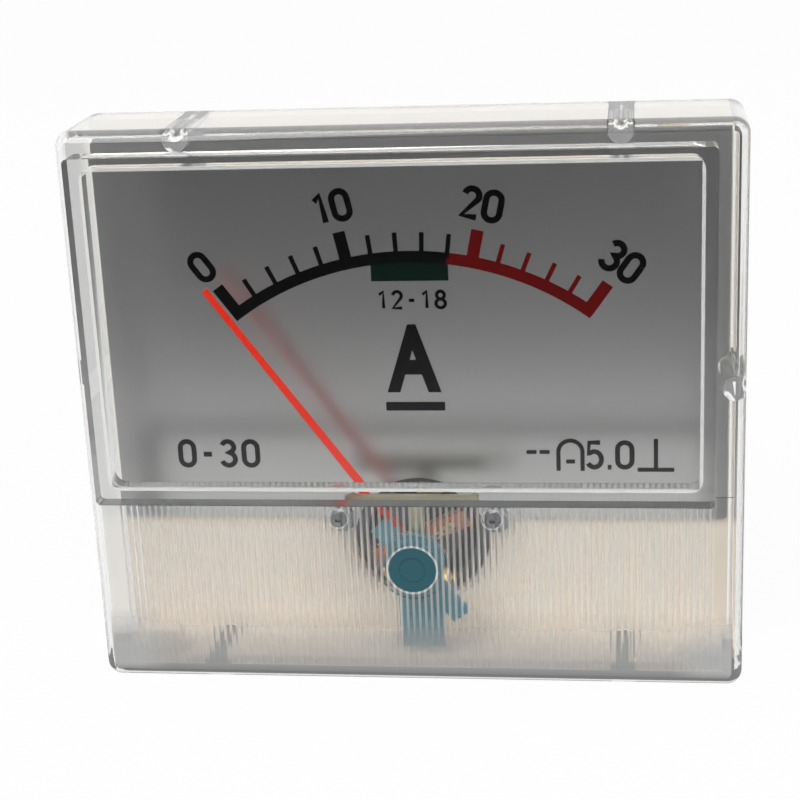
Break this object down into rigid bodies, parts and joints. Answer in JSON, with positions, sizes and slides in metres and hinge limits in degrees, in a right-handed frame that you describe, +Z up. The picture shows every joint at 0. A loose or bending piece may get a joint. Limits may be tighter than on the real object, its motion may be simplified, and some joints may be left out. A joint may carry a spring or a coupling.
{
  "type": "analog panel meter",
  "caption": "Moving-coil panel ammeter with a clear ribbed cover, raised window, brushed dial, red pointer, zero adjuster and a round case behind the panel.",
  "frame": {"origin": "centre of the cover's rear edge, in the plane where the cover and the base meet the front of the panel", "axes": "+X right as the dial is read, +Y through the panel towards the terminals, +Z up"},
  "size_m": [0.064, 0.0526, 0.056],
  "materials": {
    "clear_plastic": "gloss",
    "cream_plastic": "satin",
    "plated_steel": "satin",
    "brushed_dial": "satin",
    "black_print": "matte",
    "red_print": "matte",
    "green_print": "matte",
    "brass": "satin",
    "blue_plastic": "satin",
    "teal_plastic": "satin",
    "soft_iron": "satin",
    "bare_aluminium": "satin",
    "copper": "satin",
    "red_pointer": "satin",
    "red_sleeve": "satin",
    "tinned_brass": "satin"
  },
  "bodies": {
    "housing": {"cover": "clear_plastic", "base": "cream_plastic", "back_case": "cream_plastic", "case_screws": "plated_steel", "dial_plate": "brushed_dial", "scale_black": "black_print", "scale_red": "red_print", "scale_green": "green_print", "dial_screws": "plated_steel", "front_bridge": "brass", "bridge_screws": "plated_steel", "front_jewel_screw": "brass", "yoke": "soft_iron", "magnet_core": "soft_iron", "core_spacers": "brass", "rear_bridge": "brass", "rear_jewel_screw": "brass", "shunt": "copper", "lead_wires": "red_sleeve", "terminal_studs": "brass", "terminal_washers": "plated_steel", "solder_lugs": "tinned_brass", "terminal_nuts": "brass", "mounting_studs": "brass"},
    "moving_coil": {"coil_former": "bare_aluminium", "coil_winding": "copper", "front_staff": "bare_aluminium", "rear_staff": "bare_aluminium", "front_hairspring": "copper", "rear_hairspring": "copper", "balance_cross": "bare_aluminium", "balance_weights": "brass", "pointer": "red_pointer"},
    "zero_lever": {"zero_lever": "blue_plastic"},
    "zero_adjuster": {"zero_adjuster": "teal_plastic"}
  },
  "joints": [
    {"name": "pointer_turn", "type": "hinge", "parent": "housing", "child": "moving_coil", "pos_m": [0, 0, -0.0157], "axis": [0, 1, 0], "range_deg": [-3, 74], "stiffness_Nm_per_rad": 0.000013},
    {"name": "zero_adjuster_turn", "type": "hinge", "parent": "housing", "child": "zero_adjuster", "pos_m": [0, 0, -0.0157], "axis": [0, 1, 0], "range_deg": [-15, 15]},
    {"name": "zero_lever_turn", "type": "hinge", "parent": "housing", "child": "zero_lever", "pos_m": [0, 0, -0.0157], "axis": [0, 1, 0], "range_deg": [-15, 15]}
  ],
  "couplings": [
    {"joint": "zero_lever_turn", "follows": "zero_adjuster_turn", "ratio": 1}
  ]
}
